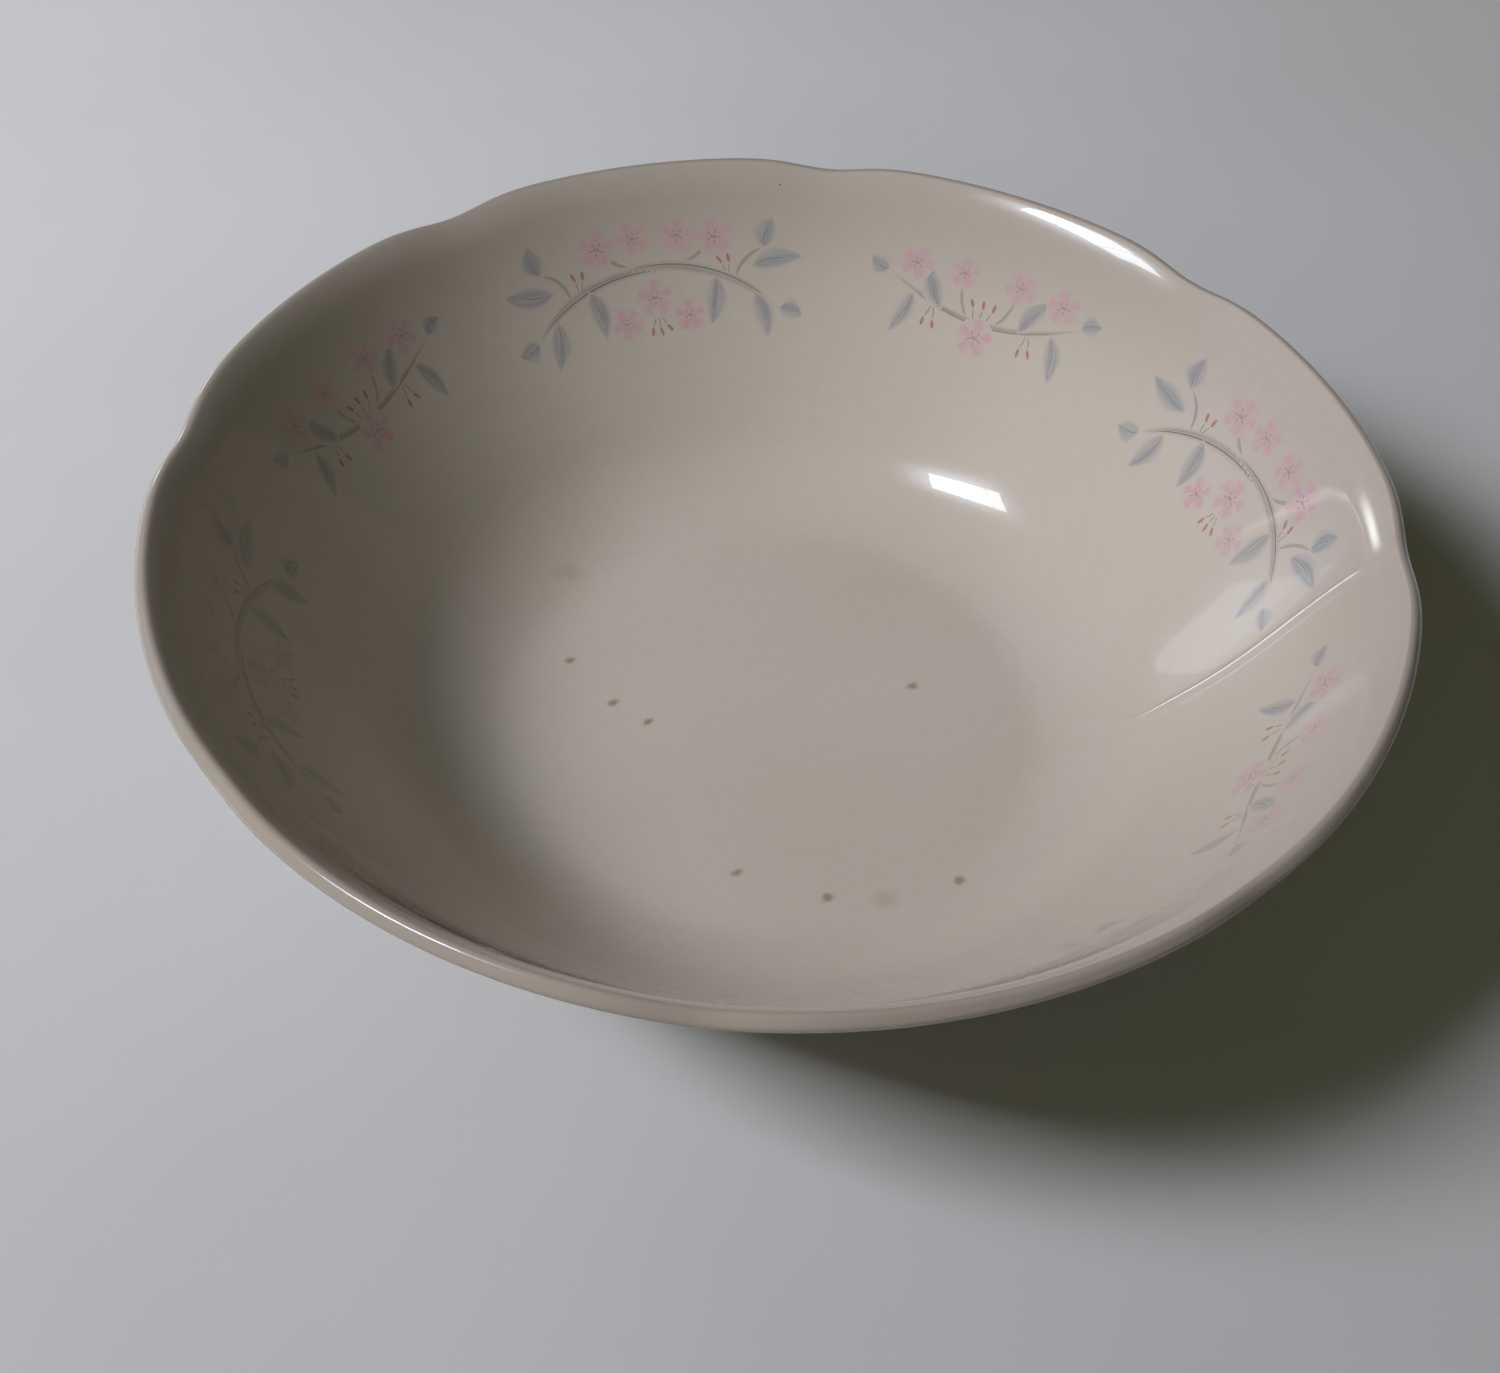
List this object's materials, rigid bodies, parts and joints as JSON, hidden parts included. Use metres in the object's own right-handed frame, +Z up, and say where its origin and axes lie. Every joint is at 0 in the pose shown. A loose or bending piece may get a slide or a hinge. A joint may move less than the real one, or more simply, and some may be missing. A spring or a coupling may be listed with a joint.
{
  "type": "serving bowl",
  "caption": "Round porcelain serving bowl with a gently lobed rim, a foot ring and small printed flower sprays on the inner wall.",
  "frame": {"origin": "centre of the plane that the foot ring stands on", "axes": "+Z up, out of the bowl's mouth; a crease between two lobes lies on +X"},
  "size_m": [0.2386, 0.2386, 0.075],
  "materials": {
    "fired_clay": "matt, bare fired clay",
    "glaze": "glossy warm cream glaze",
    "printed_flowers": "glossy printed transfer in dusty pink, blue grey and grey brown"
  },
  "bodies": {
    "root": {"bowl_body": "fired_clay", "glaze_coat": "glaze", "glaze_underside": "glaze", "spray_transfer_1": "printed_flowers", "spray_transfer_2": "printed_flowers", "spray_transfer_3": "printed_flowers", "spray_transfer_4": "printed_flowers", "sprig_transfer_1": "printed_flowers", "sprig_transfer_2": "printed_flowers", "sprig_transfer_3": "printed_flowers", "sprig_transfer_4": "printed_flowers"}
  },
  "joints": []
}
